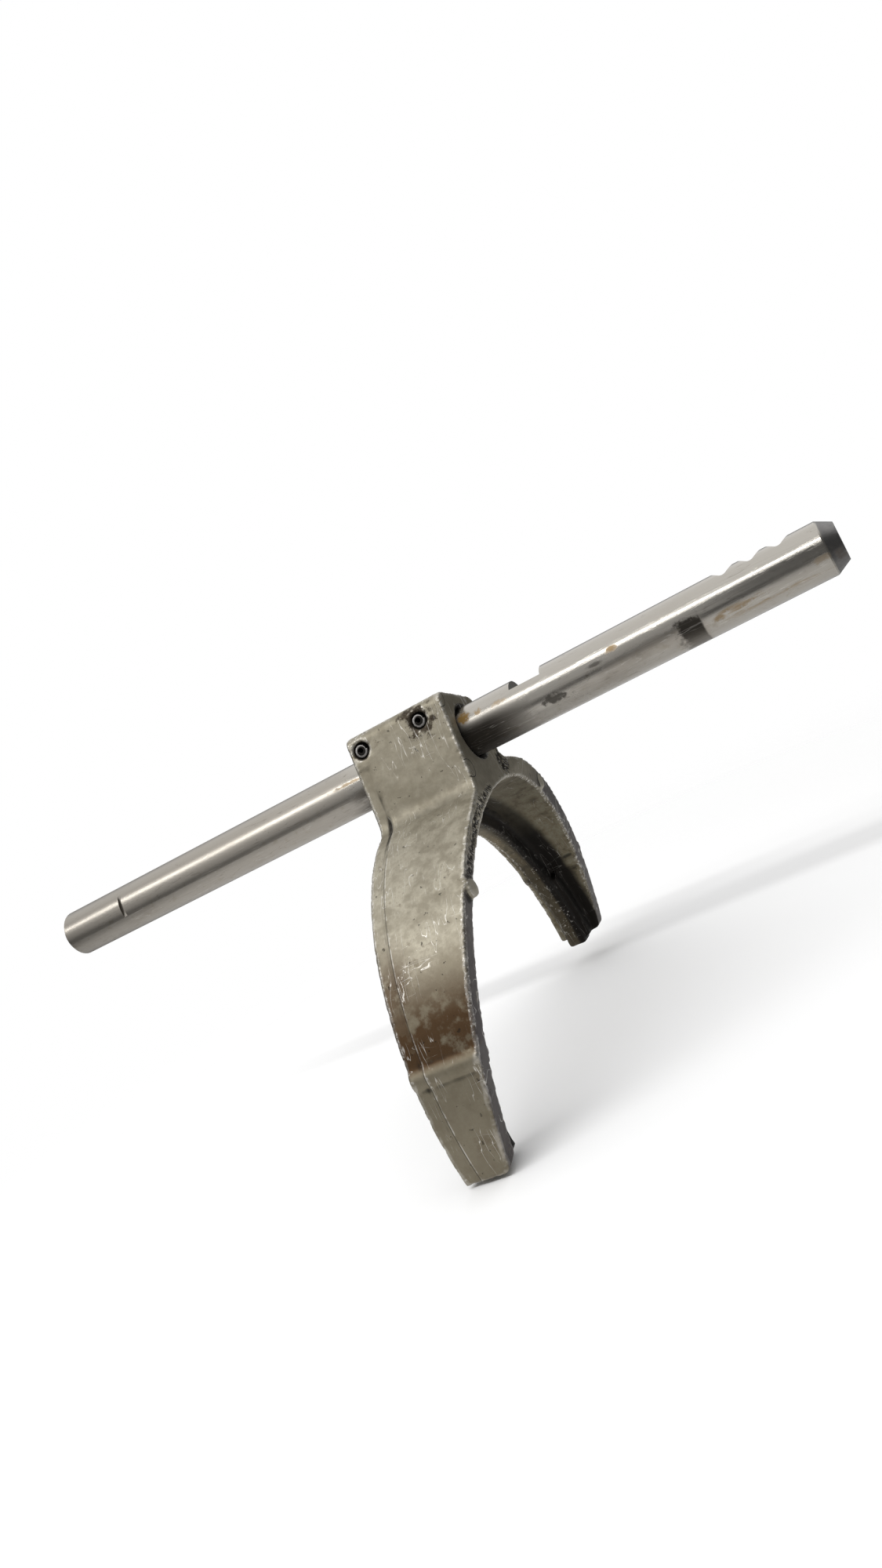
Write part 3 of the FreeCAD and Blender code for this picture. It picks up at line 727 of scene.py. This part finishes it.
def mark_wear(skin, broken):
    """Dents the proud edges, and writes what the finish reads at each point.

    worn is 1 on proud edges, packed is 1 in corners and broken gates, and front is 1 on
    faces that look along the rail, away from the flat back.
    """
    normals = skin.normals()
    bend = np.einsum("ij,ij->i", skin.average(skin.places) - skin.places, normals)[:, None]
    for _ in range(2):
        bend = skin.average(bend)
    bend = bend[:, 0]
    dents = skin.noise(1.6, 2)
    worn = np.clip(-bend / 0.035, 0, 1)
    nicked = worn * np.clip(dents - 0.15, 0, 1)
    skin.places -= normals * (nicked * 0.45)[:, None]
    skin.keep()
    crumbs = skin.average(skin.average(skin.places)) - skin.places
    pits = np.einsum("ij,ij->i", crumbs, normals)
    packed = np.maximum(np.clip(bend / 0.03, 0, 1), broken * smooth_between(pits, -0.03, 0.03))
    front = smooth_between(normals[:, 0], 0.55, 0.9)
    for name, values in (("worn", worn), ("packed", packed), ("front", front)):
        mark = skin.mesh.attributes.new(name, "FLOAT", "POINT")
        mark.data.foreach_set("value", values)


class OBJECT_OT_dress_rail(bpy.types.Operator):
    """Finish the ground selector rail"""

    bl_idname = "object.dress_selector_rail"
    bl_label = "Selector rail"

    def execute(self, context):
        sizes = context.scene.fork_sizes
        rail = merged_copy("selector_rail", "ground_rail")
        soften_edges(rail, sizes.rail_edge, 20)
        material = ground_steel(context.scene.fork_colours)
        hand_over(rail, "selector_rail", material)
        return {"FINISHED"}


class OBJECT_OT_dress_fork(bpy.types.Operator):
    """Finish the cast shift fork"""

    bl_idname = "object.dress_shift_fork"
    bl_label = "Shift fork"

    def execute(self, context):
        sizes = context.scene.fork_sizes
        fork = merged_copy("shift_fork", "cast_fork")
        even = fork.modifiers.new("even", "REMESH")
        even.mode = "VOXEL"
        even.voxel_size = sizes.skin_pitch
        apply_modifiers(fork)
        shape = bmesh.new()
        shape.from_mesh(fork.data)
        for _ in range(sizes.edge_passes):
            bmesh.ops.smooth_vert(
                shape, verts=shape.verts, factor=0.5, use_axis_x=True, use_axis_y=True, use_axis_z=True,
            )
        shape.to_mesh(fork.data)
        shape.free()
        skin = Skin(fork.data)
        step_at_parting(skin, sizes)
        broken = roughen(skin, sizes)
        mark_wear(skin, broken)
        fork.data.polygons.foreach_set("use_smooth", [True] * len(fork.data.polygons))
        material = cast_alloy(context.scene.fork_colours, sizes)
        hand_over(fork, "shift_fork", material)
        return {"FINISHED"}


def close_ends(pin, heart, along, sizes):
    """Cuts a ring near each end of a pin and draws its ends in."""
    reach = max((v.co - heart).dot(along) for v in pin.data.vertices)
    shape = bmesh.new()
    shape.from_mesh(pin.data)
    for sign in (-1, 1):
        cut = heart + along * sign * (reach - sizes.swage_length)
        geometry = shape.verts[:] + shape.edges[:] + shape.faces[:]
        bmesh.ops.bisect_plane(shape, geom=geometry, plane_co=cut, plane_no=along)
    radius = max(((v.co - heart) - along * (v.co - heart).dot(along)).length for v in shape.verts)
    for point in shape.verts:
        out = point.co - heart
        length = out.dot(along)
        closed = max(0.0, (abs(length) - reach + sizes.swage_length) / sizes.swage_length)
        aside = out - along * length
        point.co = heart + along * length + aside * (1 - closed * sizes.swage_depth / radius)
    shape.to_mesh(pin.data)
    shape.free()


class OBJECT_OT_dress_pins(bpy.types.Operator):
    """Finish the coiled spring pins and close in their ends"""

    bl_idname = "object.dress_coiled_pins"
    bl_label = "Coiled pins"

    def execute(self, context):
        sizes = context.scene.fork_sizes
        material = coiled_strip(context.scene.fork_colours)
        along = Vector((0.0, BOSS_UP.z, -BOSS_UP.y))
        for node in PIN_NODES:
            pin = merged_copy(node, node.replace("coiled_pin", "spring_pin"))
            close_ends(pin, middle_of(node), along, sizes)
            pin.data.polygons.foreach_set("use_smooth", [True] * len(pin.data.polygons))
            pin.data.set_sharp_from_angle(angle=math.radians(35))
            hand_over(pin, node, material)
        return {"FINISHED"}


class SCENE_OT_fork_stage(bpy.types.Operator):
    """Set up the floor, the light and the camera"""

    bl_idname = "scene.shift_fork_stage"
    bl_label = "Stage"

    def execute(self, context):
        sizes = context.scene.fork_sizes
        lay_floor(context.scene, sizes, context.scene.fork_colours)
        light_studio(context.scene, sizes)
        place_camera(context.scene, sizes)
        return {"FINISHED"}


def lay_floor(scene, sizes, tints):
    """A pale round floor under the fork's tips, fading into the backdrop."""
    mesh = bpy.data.meshes.new("floor")
    shape = bmesh.new()
    bmesh.ops.create_circle(shape, cap_ends=True, segments=96, radius=sizes.floor_reach)
    bmesh.ops.translate(shape, verts=shape.verts, vec=(0.0, 0.0, CAD_BOX[0].z - 0.0004))
    shape.to_mesh(mesh)
    shape.free()
    floor = bpy.data.objects.new("floor", mesh)
    scene.collection.objects.link(floor)
    paint = new_paint("pale_floor")
    where = paint.place()[0]
    away = paint.add("ShaderNodeVectorMath", {"operation": "LENGTH"}, {0: where}, output="Value")
    pale = paint.add("ShaderNodeBsdfDiffuse", inputs={"Color": rgba(tints.floor)})
    clear = paint.add("ShaderNodeBsdfTransparent")
    fade = away.rise(sizes.floor_reach * 0.18, sizes.floor_reach * 0.52)
    paint.surface(paint.add("ShaderNodeMixShader", inputs={0: fade, 1: pale, 2: clear}))
    mesh.materials.append(paint.owner)


def light_studio(scene, sizes):
    """A white backdrop, soft light from above, dark low surroundings and three lamps."""
    world = bpy.data.worlds.new("studio")
    scene.world = world
    paint = Paint(world)
    way = paint.add("ShaderNodeTexCoord", output="Generated")
    height = paint.add("ShaderNodeSeparateXYZ", inputs={0: way}, output="Z")
    depth = paint.add("ShaderNodeSeparateXYZ", inputs={0: way}, output="Y")
    glow = 0.17 + (height + depth * 0.3).rise(0.45, 0.88) * 1.2
    seen = paint.add("ShaderNodeLightPath", output="Is Camera Ray")
    level = glow * (1 - seen) + seen
    light = paint.add("ShaderNodeBackground", inputs={"Color": (1, 1, 1, 1), "Strength": level})
    paint.add("ShaderNodeOutputWorld", inputs={"Surface": light})
    for name, place, (width, height), share in LAMPS:
        lamp = bpy.data.lights.new(name, "AREA")
        lamp.shape = "RECTANGLE"
        lamp.size = width
        lamp.size_y = height
        lamp.energy = sizes.key_power * share
        holder = bpy.data.objects.new(name, lamp)
        holder.location = place
        aim = Vector((0.0, -place[1], -place[2]))
        holder.rotation_euler = aim.to_track_quat("-Z", "Y").to_euler()
        scene.collection.objects.link(holder)


def place_camera(scene, sizes):
    """A hand-held view from the near side, low and tilted."""
    lens = bpy.data.cameras.new("camera")
    lens.lens = sizes.lens
    lens.sensor_width = 36.0
    lens.clip_start = 0.01
    right = Vector(CAMERA_RIGHT).normalized()
    back = right.cross(Vector(CAMERA_UP)).normalized()
    up = back.cross(right)
    view = Matrix((right, up, back)).transposed().to_4x4()
    view.translation = CAMERA_PLACE
    camera = bpy.data.objects.new("camera", lens)
    camera.matrix_world = view
    scene.collection.objects.link(camera)
    scene.camera = camera
    scene.view_settings.view_transform = "Standard"


class VIEW3D_PT_shift_fork(bpy.types.Panel):
    """Lists the pieces and their sizes"""

    bl_label = "Shift fork"
    bl_space_type = "VIEW_3D"
    bl_region_type = "UI"
    bl_category = "Shift fork"

    def draw(self, context):
        layout = self.layout
        for operator in OPERATORS:
            layout.operator(operator.bl_idname)
        for group in (context.scene.fork_sizes, context.scene.fork_colours):
            box = layout.box()
            for name in group.__annotations__:
                box.prop(group, name)


OPERATORS = (OBJECT_OT_dress_rail, OBJECT_OT_dress_fork, OBJECT_OT_dress_pins, SCENE_OT_fork_stage)
CLASSES = (ForkSizes, ForkColours, *OPERATORS, VIEW3D_PT_shift_fork)


def register():
    for item in CLASSES:
        bpy.utils.register_class(item)
    bpy.types.Scene.fork_sizes = PointerProperty(type=ForkSizes)
    bpy.types.Scene.fork_colours = PointerProperty(type=ForkColours)


def unregister():
    del bpy.types.Scene.fork_colours
    del bpy.types.Scene.fork_sizes
    for item in reversed(CLASSES):
        bpy.utils.unregister_class(item)


def main():
    register()
    bpy.ops.object.dress_selector_rail()
    bpy.ops.object.dress_shift_fork()
    bpy.ops.object.dress_coiled_pins()
    bpy.ops.scene.shift_fork_stage()


if __name__ == "__main__":
    main()
